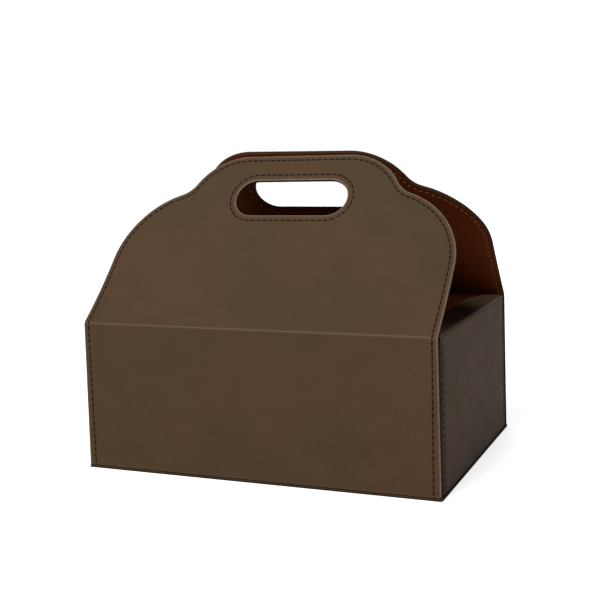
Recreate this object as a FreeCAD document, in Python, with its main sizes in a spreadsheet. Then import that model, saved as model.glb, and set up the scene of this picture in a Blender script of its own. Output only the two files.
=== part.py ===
"""Gable-topped carry tray: laminated leatherette and board, with two sagging handle flaps.

Every panel is a sandwich of a brown cover, a stiff board and a tan lining. The front and
the back panel each go on over a crease at the rim into a flap that leans to the middle,
where the two meet as a handle. The end panels have sewn flanges and a folded dust flap.
Millimetres, +Z up, origin under the middle of the base, front towards -Y.
"""
import FreeCAD, Part
import math
import operator
import os
import Sketcher

# Driving dimensions
SIZES = {
    # The box
    "panel_width": 296,
    "box_depth": 224,
    "rim_height": 121.5,
    "foot_spread": 1.6,
    # The sandwich
    "cover_thickness": 0.8,
    "board_thickness": 1.6,
    "lining_thickness": 0.6,
    # The base
    "base_sheet": 1.5,
    "base_overhang": 0.5,
    "base_corner_radius": 2,
    "base_board_thickness": 2,
    "fit_gap": 0.3,
    # The end panels
    "end_proud": 0.4,
    "end_bend_radius": 4.5,
    "flange_width": 10,
    "seam_setback": 14,
    "seam_run": 2.4,
    "rim_inner_radius": 0.2,
    # The dust flap of an end panel
    "dust_depth": 27,
    "dust_curve_run": 59.5,
    "dust_edge_radius": 168,
    "dust_corner_radius": 14,
    # The handle flaps
    "flap_chord": 170,
    "flap_sag": 7.4,
    "tip_gap": 0.8,
    "tip_offset": 2,
    "crease_gap": 0.2,
    "side_length": 68,
    "shoulder_radius": 70,
    "neck_radius": 24,
    "crown_radius": 52,
    "crown_half_width": 45,
    "trim_margin": 3,
    # The hand hole
    "slot_length": 99,
    "slot_height": 34,
    "slot_below_tip": 40,
}

# Each side panel is drawn facing the front and turned about Z to its place
TURNS = {"front": 0, "right": 90, "back": 180, "left": 270}


class Size:
    """A length or an angle: its number, and the expression that gives it in the document."""

    def __init__(self, value, text):
        self.value = value
        self.text = text

    def __add__(self, other):
        return joined(self, "+", other, operator.add)

    def __sub__(self, other):
        return joined(self, "-", other, operator.sub)

    def __mul__(self, other):
        return joined(self, "*", other, operator.mul)

    def __truediv__(self, other):
        return joined(self, "/", other, operator.truediv)

    def __neg__(self):
        return Size(-self.value, f"(-1 * {self.text})")


def sized(thing):
    """A Size for a plain number, or the Size itself."""
    return thing if isinstance(thing, Size) else Size(thing, f"{thing}")


def joined(left, sign, right, action):
    right = sized(right)
    return Size(action(left.value, right.value), f"({left.text} {sign} {right.text})")


def square_root(thing):
    return Size(math.sqrt(thing.value), f"sqrt({thing.text})")


def arcsine(thing):
    return Size(math.degrees(math.asin(thing.value)), f"(asin({thing.text}) / 1 deg)")


def arctangent(thing):
    return Size(math.degrees(math.atan(thing.value)), f"(atan({thing.text}) / 1 deg)")


def cosine(angle):
    return Size(math.cos(math.radians(angle.value)), f"cos({angle.text} * 1 deg)")


def tangent(angle):
    return Size(math.tan(math.radians(angle.value)), f"tan({angle.text} * 1 deg)")


def cell(name):
    return Size(SIZES[name], f"Sizes.{name}")


class Bend:
    """An arc to the next point of an outline: its centre and its sense."""

    def __init__(self, centre, anticlockwise):
        self.centre = (sized(centre[0]), sized(centre[1]))
        self.anticlockwise = anticlockwise


doc = FreeCAD.newDocument("gable_carry_tray")
sheet = doc.addObject("Spreadsheet::Sheet", "Sizes")
for row, (alias, number) in enumerate(SIZES.items(), start=1):
    sheet.set(f"A{row}", str(number))
    sheet.setAlias(f"A{row}", alias)
doc.recompute()

# Sizes that several pieces share
HALF_WIDTH = cell("panel_width") / 2
HALF_FOOT = HALF_WIDTH + cell("foot_spread")
HALF_DEPTH = cell("box_depth") / 2
WALL = cell("cover_thickness") + cell("board_thickness") + cell("lining_thickness")
INNER_DEPTH = HALF_DEPTH - WALL
END_FACE = HALF_FOOT + cell("end_proud")
FOLD_HALF = INNER_DEPTH - cell("end_bend_radius")
SEAM_HALF = INNER_DEPTH - cell("seam_setback")
END_HEIGHT = cell("rim_height") - cell("base_sheet")
RIM_RADIUS = WALL + cell("rim_inner_radius")

# A layer's depth below the outer face, and its thickness
LAYERS = {
    "cover": (sized(0), cell("cover_thickness")),
    "board": (cell("cover_thickness"), cell("board_thickness")),
    "lining": (cell("cover_thickness") + cell("board_thickness"), cell("lining_thickness")),
}

# A handle flap sags inwards between its crease and its tip, so its tip stands steeper
BOW_RADIUS = (
    cell("flap_chord") * cell("flap_chord") / 4 + cell("flap_sag") * cell("flap_sag")
) / (cell("flap_sag") * 2)
BOW_ANGLE = arcsine(cell("flap_chord") / 2 / BOW_RADIUS)

TIP_DEPTH = WALL / cosine(BOW_ANGLE)
TIP_REACH = square_root(cell("flap_chord") * cell("flap_chord") + TIP_DEPTH * TIP_DEPTH)


def lean_for(reach):
    """The lean, from upright, that carries the inner edge of a tip inwards by that much."""
    return arcsine(reach / TIP_REACH) - arctangent(TIP_DEPTH / cell("flap_chord"))


# The tips meet a little behind the middle, so the back flap stands a little steeper
LEAN = {
    "front": lean_for(HALF_DEPTH - cell("tip_gap") / 2 + cell("tip_offset")),
    "back": lean_for(HALF_DEPTH - cell("tip_gap") / 2 - cell("tip_offset")),
}
# Wall and flap are mitred at the crease, each by half of the turn
MITRE = {side: (lean + BOW_ANGLE) / 2 for side, lean in LEAN.items()}


def new_body(name):
    body = doc.addObject("PartDesign::Body", name)
    body.Label = name
    return body


def origin_plane(body, role):
    return [item for item in body.Origin.OriginFeatures if item.Role == role][0]


def new_sketch(body, name, role):
    sketch = body.newObject("Sketcher::SketchObject", f"{body.Name}_{name}")
    sketch.AttachmentSupport = [(origin_plane(body, role), "")]
    sketch.MapMode = "FlatFace"
    return sketch


def bind(sketch, kind, *where, size):
    """Add one dimension to a sketch and tie it to its expression."""
    number = sketch.addConstraint(Sketcher.Constraint(kind, *where, size.value))
    sketch.setExpression(f"Constraints[{number}]", size.text)


def arc_through(centre, start, end, anticlockwise):
    """An arc about a centre from start to end, which are plain (x, y) pairs."""
    first, last = (start, end) if anticlockwise else (end, start)
    from_angle = math.atan2(first[1] - centre[1], first[0] - centre[0])
    to_angle = math.atan2(last[1] - centre[1], last[0] - centre[0])
    if to_angle < from_angle:
        to_angle += 2 * math.pi
    radius = math.dist(centre, start)
    circle = Part.Circle(FreeCAD.Vector(*centre, 0), FreeCAD.Vector(0, 0, 1), radius)
    return Part.ArcOfCircle(circle, from_angle, to_angle)


def closed_outline(body, name, role, path):
    """Sketch a closed outline. Each point of the path is (x, y, bend to the next or None)."""
    sketch = new_sketch(body, name, role)
    ends = []
    for index, (x, y, bend) in enumerate(path):
        after = path[(index + 1) % len(path)]
        start = (sized(x).value, sized(y).value)
        end = (sized(after[0]).value, sized(after[1]).value)
        if bend is None:
            line = Part.LineSegment(FreeCAD.Vector(*start, 0), FreeCAD.Vector(*end, 0))
            ends.append((sketch.addGeometry(line, False), 1, 2))
            continue
        centre = (bend.centre[0].value, bend.centre[1].value)
        arc = arc_through(centre, start, end, bend.anticlockwise)
        order = (1, 2) if bend.anticlockwise else (2, 1)
        ends.append((sketch.addGeometry(arc, False), *order))
    for index, (x, y, bend) in enumerate(path):
        edge, first, last = ends[index]
        next_edge, next_first, _ = ends[(index + 1) % len(path)]
        sketch.addConstraint(Sketcher.Constraint("Coincident", edge, last, next_edge, next_first))
        bind(sketch, "DistanceX", -1, 1, edge, first, size=sized(x))
        bind(sketch, "DistanceY", -1, 1, edge, first, size=sized(y))
        if bend is not None:
            # The two ends leave the centre free along one line, so one coordinate fixes it
            after = path[(index + 1) % len(path)]
            rise = abs(sized(after[1]).value - sized(y).value)
            run = abs(sized(after[0]).value - sized(x).value)
            kind, place = ("DistanceX", 0) if rise > run else ("DistanceY", 1)
            bind(sketch, kind, -1, 1, edge, 3, size=bend.centre[place])
    return sketch


def padded(body, sketch, length, both_ways=False):
    pad = body.newObject("PartDesign::Pad", f"{sketch.Name}_pad")
    pad.Profile = sketch
    pad.setExpression("Length", length.text)
    if both_ways:
        pad.SideType = "Symmetric"
    return pad


def cut_through(body, sketch):
    pocket = body.newObject("PartDesign::Pocket", f"{sketch.Name}_pocket")
    pocket.Profile = sketch
    pocket.Type = "ThroughAll"
    pocket.SideType = "Symmetric"
    return pocket


def mirrored(body, feature):
    """Repeat a cut on the other side of the body's middle."""
    mirror = body.newObject("PartDesign::Mirrored", f"{feature.Name}_mirror")
    mirror.Originals = [feature]
    mirror.MirrorPlane = (origin_plane(body, "YZ_Plane"), [""])
    body.Tip = mirror
    return mirror


def turn_text(side):
    return f"placement(vector(0; 0; 0); rotation(vector(0; 0; 1); {TURNS[side]} deg))"


def rounded_rectangle(half_x, half_y, radius):
    """The outline from the bottom edge round, with four rounded corners."""
    path = []
    signs = ((1, -1), (1, 1), (-1, 1), (-1, -1))
    for sign_x, sign_y in signs:
        centre = ((half_x - radius) * sign_x, (half_y - radius) * sign_y)
        beside = (half_x * sign_x, centre[1], None)
        below = (centre[0], half_y * sign_y, None)
        first, last = (below, beside) if sign_x != sign_y else (beside, below)
        path.append((first[0], first[1], Bend(centre, True)))
        path.append(last)
    return path


def make_base_cover():
    """The sheet under everything, a little larger than the walls that stand on it."""
    body = new_body("base_cover")
    outline = rounded_rectangle(
        END_FACE + cell("base_overhang"),
        HALF_DEPTH + cell("base_overhang"),
        cell("base_corner_radius"),
    )
    padded(body, closed_outline(body, "outline", "XY_Plane", outline), cell("base_sheet"))


def make_base_insert(name, bottom, thickness):
    """A base layer inside the walls, notched at the corners round the end panels' flanges."""
    body = new_body(name)
    gap = cell("fit_gap")
    long_half = END_FACE - WALL - gap
    deep_half = INNER_DEPTH - gap
    notch_x = END_FACE - cell("end_bend_radius") - cell("flange_width") - gap
    notch_y = deep_half - cell("cover_thickness") - cell("lining_thickness")
    outline = [
        (-notch_x, -deep_half, None),
        (notch_x, -deep_half, None),
        (notch_x, -notch_y, None),
        (long_half, -notch_y, None),
        (long_half, notch_y, None),
        (notch_x, notch_y, None),
        (notch_x, deep_half, None),
        (-notch_x, deep_half, None),
        (-notch_x, notch_y, None),
        (-long_half, notch_y, None),
        (-long_half, -notch_y, None),
        (-notch_x, -notch_y, None),
    ]
    padded(body, closed_outline(body, "outline", "XY_Plane", outline), thickness)
    body.setExpression("Placement.Base.z", bottom.text)


def side_trim():
    """The waste beside one edge of a long wall, which is a little wider at its foot."""
    foot = cell("base_sheet")
    rim = cell("rim_height")
    margin = cell("trim_margin")
    return [
        (HALF_FOOT, foot, None),
        (HALF_FOOT + margin, foot, None),
        (HALF_FOOT + margin, rim + margin, None),
        (HALF_WIDTH, rim + margin, None),
        (HALF_WIDTH, rim, None),
    ]


def make_wall(side, layer):
    """One layer of the front or back wall, mitred along the crease at the rim."""
    body = new_body(f"{side}_wall_{layer}")
    depth, thickness = LAYERS[layer]
    outer = depth - HALF_DEPTH
    inner = outer + thickness
    section = [
        (outer, cell("base_sheet"), None),
        (inner, cell("base_sheet"), None),
        (inner, cell("rim_height") - (depth + thickness) * tangent(MITRE[side]), None),
        (outer, cell("rim_height") - depth * tangent(MITRE[side]), None),
    ]
    sketch = closed_outline(body, "section", "YZ_Plane", section)
    padded(body, sketch, HALF_FOOT * 2, both_ways=True)
    trim = closed_outline(body, "side_trim", "XZ_Plane", side_trim())
    mirrored(body, cut_through(body, trim))
    body.setExpression("Placement", turn_text(side))


def crease_point(side, depth):
    """Where a flap's mitred edge lies at one depth, in the flap's own Y and Z."""
    # Along the bow from the crease, then inwards
    run = depth * tangent(MITRE[side]) + cell("crease_gap")
    slope_cos = cosine(BOW_ANGLE)
    slope_sin = cell("flap_chord") / 2 / BOW_RADIUS
    return run * slope_cos - depth * slope_sin, -(run * slope_sin + depth * slope_cos)


def bow_height(along, depth):
    """Height of a bowed layer surface from the chord, at a distance along the chord."""
    radius = BOW_RADIUS + depth
    offset = along - cell("flap_chord") / 2
    return BOW_RADIUS - cell("flap_sag") - square_root(radius * radius - offset * offset)


def bowed_section(side, depth, thickness):
    """A layer's section from the mitred crease to just past the tip."""
    outer_start = crease_point(side, depth)[0]
    inner_start = crease_point(side, depth + thickness)[0]
    tip = cell("flap_chord") + cell("trim_margin") / 2
    centre = (cell("flap_chord") / 2, BOW_RADIUS - cell("flap_sag"))
    outer_bend = Bend(centre, True)
    inner_bend = Bend(centre, False)
    return [
        (outer_start, bow_height(outer_start, depth), outer_bend),
        (tip, bow_height(tip, depth), None),
        (tip, bow_height(tip, depth + thickness), inner_bend),
        (inner_start, bow_height(inner_start, depth + thickness), None),
    ]


def flap_trim(body):
    """The waste beside one half of a flap: shoulder, neck and crown arcs run into each other."""
    shoulder = cell("shoulder_radius")
    neck = cell("neck_radius")
    crown = cell("crown_radius")
    shoulder_at = (HALF_WIDTH.value - shoulder.value, cell("side_length").value)
    crown_at = (cell("crown_half_width").value, cell("flap_chord").value - crown.value)
    # The neck touches both of the other arcs from outside
    apart = math.dist(shoulder_at, crown_at)
    to_shoulder = shoulder.value + neck.value
    to_crown = crown.value + neck.value
    along = (to_shoulder**2 - to_crown**2 + apart**2) / (2 * apart)
    across = math.sqrt(to_shoulder**2 - along**2)
    step = [(c - s) / apart for s, c in zip(shoulder_at, crown_at)]
    neck_at = (
        shoulder_at[0] + along * step[0] + across * step[1],
        shoulder_at[1] + along * step[1] - across * step[0],
    )
    low = [s + (n - s) * shoulder.value / to_shoulder for s, n in zip(shoulder_at, neck_at)]
    high = [c + (n - c) * crown.value / to_crown for c, n in zip(crown_at, neck_at)]

    top = cell("flap_chord")
    margin = cell("trim_margin")
    corner = (HALF_WIDTH.value, cell("side_length").value)
    crown_top = (cell("crown_half_width").value, top.value)
    far = (HALF_WIDTH + margin).value
    roof = (top + margin).value
    sketch = new_sketch(body, "trim", "XY_Plane")

    def line(start, end):
        segment = Part.LineSegment(FreeCAD.Vector(*start, 0), FreeCAD.Vector(*end, 0))
        return sketch.addGeometry(segment, False)

    top_line = line((0, top.value), crown_top)
    crown_arc = sketch.addGeometry(arc_through(crown_at, crown_top, high, False))
    neck_arc = sketch.addGeometry(arc_through(neck_at, high, low, True))
    shoulder_arc = sketch.addGeometry(arc_through(shoulder_at, low, corner, False))
    foot_line = line(corner, (far, corner[1]))
    far_line = line((far, corner[1]), (far, roof))
    roof_line = line((far, roof), (0, roof))
    middle_line = line((0, roof), (0, top.value))

    def constrain(kind, *where):
        sketch.addConstraint(Sketcher.Constraint(kind, *where))

    constrain("Tangent", top_line, 2, crown_arc, 2)
    constrain("Tangent", crown_arc, 1, neck_arc, 1)
    constrain("Tangent", neck_arc, 2, shoulder_arc, 2)
    constrain("Coincident", shoulder_arc, 1, foot_line, 1)
    constrain("Coincident", foot_line, 2, far_line, 1)
    constrain("Coincident", far_line, 2, roof_line, 1)
    constrain("Coincident", roof_line, 2, middle_line, 1)
    constrain("Coincident", middle_line, 2, top_line, 1)
    for edge in (top_line, foot_line, roof_line):
        constrain("Horizontal", edge)
    for edge in (far_line, middle_line):
        constrain("Vertical", edge)
    constrain("Horizontal", shoulder_arc, 3, shoulder_arc, 1)
    bind(sketch, "DistanceX", -1, 1, top_line, 1, size=sized(0))
    bind(sketch, "DistanceY", -1, 1, top_line, 1, size=top)
    bind(sketch, "DistanceX", -1, 1, top_line, 2, size=cell("crown_half_width"))
    bind(sketch, "Radius", crown_arc, size=crown)
    bind(sketch, "Radius", neck_arc, size=neck)
    bind(sketch, "Radius", shoulder_arc, size=shoulder)
    bind(sketch, "DistanceX", -1, 1, foot_line, 1, size=HALF_WIDTH)
    bind(sketch, "DistanceY", -1, 1, foot_line, 1, size=cell("side_length"))
    bind(sketch, "DistanceX", foot_line, 1, foot_line, 2, size=margin)
    bind(sketch, "DistanceY", top_line, 1, roof_line, 2, size=margin)
    return sketch


def hand_hole():
    """A slot with round ends across the flap."""
    end = cell("slot_height") / 2
    reach = cell("slot_length") / 2 - end
    middle = cell("flap_chord") - cell("slot_below_tip")
    return [
        (-reach, middle - end, None),
        (reach, middle - end, Bend((reach, middle), True)),
        (reach, middle + end, None),
        (-reach, middle + end, Bend((-reach, middle), True)),
    ]


def make_handle_flap(side, layer):
    """One layer of a handle flap: a bowed strip, trimmed to its outline, with the hand hole.

    Its own Y runs along the chord from the crease to the tip, and its Z faces outwards.
    """
    body = new_body(f"{side}_flap_{layer}")
    depth, thickness = LAYERS[layer]
    section = closed_outline(body, "section", "YZ_Plane", bowed_section(side, depth, thickness))
    padded(body, section, cell("panel_width"), both_ways=True)
    mirrored(body, cut_through(body, flap_trim(body)))
    body.Tip = cut_through(body, closed_outline(body, "hand_hole", "XY_Plane", hand_hole()))
    hinge = (
        f"placement(vector(0; -1 * {HALF_DEPTH.text}; Sizes.rim_height);"
        f" rotation(vector(1; 0; 0); (90 - {LEAN[side].text}) * 1 deg))"
    )
    body.setExpression("Placement", f"{turn_text(side)} * {hinge}")


def flanged_plan(depth, thickness, joggle):
    """Plan of an end skin: its face, two rounded corners, and flanges behind the long walls.

    With a joggle, the middle of the face steps inwards by that much to clear the board.
    """
    out_x = INNER_DEPTH - depth
    out_y = depth - END_FACE
    radius = cell("end_bend_radius") - depth
    centre_y = out_y + radius
    flange_end = cell("end_bend_radius") + cell("flange_width") - END_FACE
    bend_x = out_x - radius
    left, right = (-bend_x, centre_y), (bend_x, centre_y)
    seam = SEAM_HALF
    seam_out = SEAM_HALF + cell("seam_run")

    def face(y, signs):
        """The face from one rounded corner to the other, with its steps if it has them."""
        if joggle is None:
            return []
        steps = []
        for sign, first, second in ((signs[0], seam_out, seam), (signs[1], seam, seam_out)):
            for x in (first, second):
                steps.append((x * sign, y + joggle if x is seam else y, None))
        return steps

    return [
        (-out_x, flange_end, None),
        (-out_x, centre_y, Bend(left, True)),
        (-bend_x, out_y, None),
        *face(out_y, (-1, 1)),
        (bend_x, out_y, Bend(right, True)),
        (out_x, centre_y, None),
        (out_x, flange_end, None),
        (out_x - thickness, flange_end, None),
        (out_x - thickness, centre_y, Bend(right, False)),
        (bend_x, out_y + thickness, None),
        *face(out_y + thickness, (1, -1)),
        (-bend_x, out_y + thickness, Bend(left, False)),
        (thickness - out_x, centre_y, None),
        (thickness - out_x, flange_end, None),
    ]


def board_plan(depth, thickness):
    """Plan of the end board, which stops short of the corners at the seams."""
    outer = depth - END_FACE
    return [
        (-SEAM_HALF, outer, None),
        (SEAM_HALF, outer, None),
        (SEAM_HALF, outer + thickness, None),
        (-SEAM_HALF, outer + thickness, None),
    ]


def rim_section(depth, thickness):
    """Section of the fold at the rim and the dust flap that lies level inside it."""
    radius = RIM_RADIUS
    centre = (radius - END_FACE, END_HEIGHT - radius)
    inner = depth + thickness
    edge = cell("dust_depth") + cell("trim_margin") / 2 - END_FACE
    return [
        (depth - END_FACE, centre[1], Bend(centre, False)),
        (centre[0], END_HEIGHT - depth, None),
        (edge, END_HEIGHT - depth, None),
        (edge, END_HEIGHT - inner, None),
        (centre[0], END_HEIGHT - inner, Bend(centre, True)),
        (inner - END_FACE, centre[1], None),
    ]


def dust_trim():
    """The waste beside one half of a dust flap: a flat edge, a slow curve and a corner."""
    slow = cell("dust_edge_radius")
    corner = cell("dust_corner_radius")
    edge = cell("dust_depth") - END_FACE
    flat = FOLD_HALF - cell("dust_curve_run")
    slow_centre = (flat, edge - slow)
    between = slow - corner
    across = FOLD_HALF - corner - flat
    corner_centre = (
        FOLD_HALF - corner,
        slow_centre[1] + square_root(between * between - across * across),
    )
    meet = [s + (c - s) * slow / between for s, c in zip(slow_centre, corner_centre)]
    margin = cell("trim_margin")
    return [
        (0, edge, None),
        (flat, edge, Bend(slow_centre, False)),
        (meet[0], meet[1], Bend(corner_centre, False)),
        (FOLD_HALF, corner_centre[1], None),
        (FOLD_HALF + margin / 2, corner_centre[1], None),
        (FOLD_HALF + margin / 2, edge + margin, None),
        (0, edge + margin, None),
    ]


def make_end(side, layer):
    """One layer of an end panel, folded at the rim into its dust flap."""
    body = new_body(f"{side}_end_{layer}")
    depth, thickness = LAYERS[layer]
    if layer == "board":
        plan = board_plan(depth, thickness)
    elif layer == "cover":
        plan = flanged_plan(depth, thickness, None)
    else:
        # The two skins meet in the corners, where there is no board between them
        plan = flanged_plan(cell("cover_thickness"), thickness, cell("board_thickness"))
    wall = closed_outline(body, "plan", "XY_Plane", plan)
    padded(body, wall, END_HEIGHT - RIM_RADIUS)
    rim = closed_outline(body, "rim", "YZ_Plane", rim_section(depth, thickness))
    padded(body, rim, FOLD_HALF * 2, both_ways=True)
    mirrored(body, cut_through(body, closed_outline(body, "dust_trim", "XY_Plane", dust_trim())))
    # The panel leans in from its foot, about the inner end of its flanges
    pivot = cell("end_bend_radius") + cell("flange_width") - END_FACE
    slope = arctangent(cell("foot_spread") / END_HEIGHT)
    lift = "placement(vector(0; 0; Sizes.base_sheet); rotation(vector(0; 0; 1); 0 deg))"
    tilt = (
        f"placement(vector(0; 0; 0); rotation(vector(1; 0; 0); -1 * {slope.text} * 1 deg);"
        f" vector(0; {pivot.text}; 0))"
    )
    body.setExpression("Placement", f"{turn_text(side)} * {lift} * {tilt}")


make_base_cover()
make_base_insert("base_board", cell("base_sheet"), cell("base_board_thickness"))
make_base_insert(
    "base_lining",
    cell("base_sheet") + cell("base_board_thickness"),
    cell("lining_thickness"),
)
for layer_name in LAYERS:
    for long_side in ("front", "back"):
        make_wall(long_side, layer_name)
        make_handle_flap(long_side, layer_name)
    for end_side in ("left", "right"):
        make_end(end_side, layer_name)

doc.recompute()

for item in doc.Objects:
    if "Invalid" in item.State or "Error" in item.State:
        raise RuntimeError(f"{item.Name} failed: {item.State}")

os.makedirs("parts", exist_ok=True)
for body in doc.findObjects("PartDesign::Body"):
    shape = body.Shape
    if shape.isNull() or not shape.isValid() or len(shape.Solids) != 1:
        raise RuntimeError(f"{body.Label} is not one valid solid")
    shape.exportStep(os.path.join("parts", f"{body.Label}.step"))
    print(f"{body.Label}: {shape.Volume / 1000:.1f} cm3")
for side, lean in LEAN.items():
    print(f"{side} flap: lean {lean.value:.2f}, bow {BOW_ANGLE.value:.2f} at {BOW_RADIUS.value:.1f}")
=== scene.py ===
"""Looks of the gable carry tray: leatherette skins glued and sewn over board.

Every panel is cut flat and folded, so each layer is drawn as a flat pattern in millimetres
and then placed by a shape that knows the folds, from across, along, and the depth below the
outer face. The thread and the stitch furrows are laid out on the same flat patterns.
"""
import math

import bpy
import numpy as np
from mathutils import Matrix, Vector
from mathutils.geometry import delaunay_2d_cdt


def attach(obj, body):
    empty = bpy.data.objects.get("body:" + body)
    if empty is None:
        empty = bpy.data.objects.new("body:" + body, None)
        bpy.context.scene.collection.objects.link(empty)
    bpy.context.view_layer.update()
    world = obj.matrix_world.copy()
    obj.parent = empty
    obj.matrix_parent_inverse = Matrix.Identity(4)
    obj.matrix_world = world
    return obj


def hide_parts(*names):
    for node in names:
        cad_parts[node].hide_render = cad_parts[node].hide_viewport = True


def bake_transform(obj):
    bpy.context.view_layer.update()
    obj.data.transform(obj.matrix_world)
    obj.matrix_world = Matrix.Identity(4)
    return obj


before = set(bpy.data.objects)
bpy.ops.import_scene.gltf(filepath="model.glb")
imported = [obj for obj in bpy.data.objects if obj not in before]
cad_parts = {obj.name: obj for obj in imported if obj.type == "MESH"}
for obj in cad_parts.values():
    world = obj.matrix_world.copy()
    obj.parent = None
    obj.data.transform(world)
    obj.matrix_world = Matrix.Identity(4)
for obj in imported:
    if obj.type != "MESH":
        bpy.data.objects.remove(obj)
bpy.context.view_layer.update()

MM = 0.001

# The box, in millimetres
PANEL_WIDTH = 296
BOX_DEPTH = 224
RIM_HEIGHT = 121.5
FOOT_SPREAD = 1.6
BASE_SHEET = 1.5
BASE_OVERHANG = 0.5
BASE_CORNER = 2
BASE_BOARD = 2
BASE_LINING = 0.6
BASE_EASE = 0.5
BASE_EDGE_SINK = 0.35
NOTCH_DEPTH = 1.4
FIT_GAP = 0.3

# The sandwich: how deep each layer starts and ends below the outer face
COVER = (0, 0.8)
BOARD = (0.8, 2.4)
LINING = (2.4, 3.0)
WALL = 3.0

# The handle flaps
CHORD = 170
SAG = 7.4
TIP_GAP = 0.8
TIP_OFFSET = 2
SIDE_LENGTH = 68
SHOULDER_RADIUS = 70
NECK_RADIUS = 24
CROWN_RADIUS = 52
CROWN_HALF = 45
SLOT_LENGTH = 99
SLOT_HEIGHT = 34
SLOT_BELOW_TIP = 40

# The fold at the rim is rounded over a short run, less on the inside, and the mitre of each
# layer fades out along the flap
FOLD_ROUND = 2.4
FOLD_TIGHTER = 0.4
MITRE_FADE = 20

# The back flap is a little askew: its crown leans to its own right and stands higher there,
# and its left side sags less
CROWN_SKEW = 2.9
CROWN_RISE = 1.2
SKEW_START = 82
SKEW_RUN = 50
SIDE_LIFT = 4.2

# The end panels
END_PROUD = 0.4
END_BEND = 4.5
FLANGE = 10
SEAM_SETBACK = 14
RIM_RADIUS = 3.2
DUST_DEPTH = 27
DUST_CURVE_RUN = 59.5
DUST_EDGE_RADIUS = 168
DUST_CORNER_RADIUS = 14
BOARD_STEP = 0.3

# Beside the corners there is no board: the lining steps in there, and the cover dips
LINING_STEP = 1.6
STEP_RUN = 2.4
STEP_TOP_RUN = 5
COVER_DIP = 0.45
DIP_START = 2
DIP_RUN = 2.5
DIP_END_RUN = 3
DIP_TOP_RUN = 6

# The sewing
STITCH_PITCH = 5.3
STITCH_LENGTH = 3.3
THREAD_HALF = 0.54
THREAD_SLICES = 7
THREAD_SIDES = 8

# A stitch: how thick its ends are, how deep they go, how far its middle stands above them,
# and how flat it is pressed
THREAD_TAPER = 0.35
THREAD_DIP = 0.34
THREAD_ARCH = 0.42
THREAD_PRESSED = 0.8

# Rows of stitches: how far inside the edge, how far outside the hand hole, and how far
# from the middle of an end. Each row ends a little short of the foot and the rim
PANEL_STITCH = 4.1
SLOT_STITCH = 5
END_STITCH = 100.6
PANEL_ROW_FOOT = 1.2
END_ROW_SHORT = 3
END_FURROW_SHORT = 1.5
THREAD_BED = 0.1
END_THREAD_BED = 0.55

# Lines beside a cut edge, as (how far in, how sunk, how much edge tone, which on the cover is a
# painted highlight on the bevel with some rubbing), and across a row of stitches, as (how far off,
# how sunk, how dark)
EDGE_RINGS = ((0.3, 0.12, 1.0), (0.65, 0.02, 0.45), (1.2, 0.0, 0.1), (2.2, 0.0, 0.0))
FURROW = ((-1.1, 0.0, 0.0), (-0.5, 0.16, 0.2), (0, 0.28, 0.55), (0.5, 0.16, 0.2), (1.1, 0.0, 0.0))
LONG_EDGE_SINK = 0.34
END_EDGE_SINK = 0.3

# Marks as (how much edge tone, how dark): painted shade along the foot of a wall and in the recess
# beside an end's corner, and the rim of an end, where the edge tone is a painted highlight with
# some rubbing
SHADE_MARK = (0.0, 0.8)
RIM_HIGHLIGHT_AND_WEAR = (0.9, 0.0)
SHADED_FOOT_HEIGHT = 1
SHADE_BESIDE_STITCH = 1.2
RIM_PLACE = 0.45
RIM_HALF = 0.6
RIM_SHORT = 1

# How closely the points of the patterns lie: round arcs, along lines, across folds, and
# elsewhere
ARC_STEP = 1.6
SMALL_ARC_STEP = 0.5
LINE_STEP = 2.4
FOLD_STEP = 0.5
LONG_STEP = 4
LONG_HIDDEN_STEP = 12
LONG_FOLD = 5
END_STEP = 3
END_HIDDEN_STEP = 4
END_BOARD_STEP = 8
END_FOLD_BELOW = 0.75
END_FOLD_ABOVE = 1
BASE_LINE_STEP = 6
BASE_STEP = 15
BASE_LINING_LINE_STEP = 5
BASE_LINING_STEP = 9

# What is too short to matter, how near two points are to be taken for one, how close the
# points of a line may lie, and the area in square millimetres of a sliver along an edge
TINY = 1e-6
MERGED = 1e-5
CLOSEST = 0.12
SLIVER = 1e-4

# How far the points that fill a sheet keep from its lines: as a share of their step, in the
# rows across a fold, and at most
ROOM_SHARE = 0.45
ROW_ROOM = 0.5
MOST_ROOM = 1.5

# Slow unevenness of the glued skins: its height, its waves as (length, share), how they
# wander as (length, how far), and how far it is shifted from one panel to the next
SWELL = 0.16
WAVES = ((23, 1.0), (17, 0.7), (11, 0.5))
WANDERS = ((31, 1.3), (41, 0.8))
SWELL_SHIFT = (61, -37)

HALF_WIDTH = PANEL_WIDTH / 2
HALF_FOOT = HALF_WIDTH + FOOT_SPREAD
HALF_DEPTH = BOX_DEPTH / 2
INNER_DEPTH = HALF_DEPTH - WALL
WALL_HEIGHT = RIM_HEIGHT - BASE_SHEET
END_FACE = HALF_FOOT + END_PROUD
FOLD_HALF = INNER_DEPTH - END_BEND
SEAM_HALF = INNER_DEPTH - SEAM_SETBACK
BOW_RADIUS = (CHORD**2 / 4 + SAG**2) / (2 * SAG)
BOW = math.asin(CHORD / 2 / BOW_RADIUS)
END_SLOPE = math.atan(FOOT_SPREAD / WALL_HEIGHT)
END_PIVOT = END_BEND + FLANGE - END_FACE
FOLD_START = WALL_HEIGHT - RIM_RADIUS
FOLD_RUN = RIM_RADIUS * math.pi / 2
FOLD_END = FOLD_START + FOLD_RUN
CORNER_RUN = END_BEND * math.pi / 2


# Flat outlines


def arc(centre, radius, start, end, step=ARC_STEP):
    """Points on an arc between two angles in radians, both ends included."""
    count = max(3, int(abs(end - start) * radius / step))
    angles = np.linspace(start, end, count + 1)
    return [(centre[0] + radius * math.cos(a), centre[1] + radius * math.sin(a)) for a in angles]


def bearing(centre, point):
    """The direction of a point from a centre, in radians."""
    return math.atan2(point[1] - centre[1], point[0] - centre[0])


def along_arc(chord_place):
    """Length along a flap's bow, from the crease, of a place along its chord."""
    return BOW_RADIUS * (BOW - math.asin(math.sin(BOW) - chord_place / BOW_RADIUS))


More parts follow.
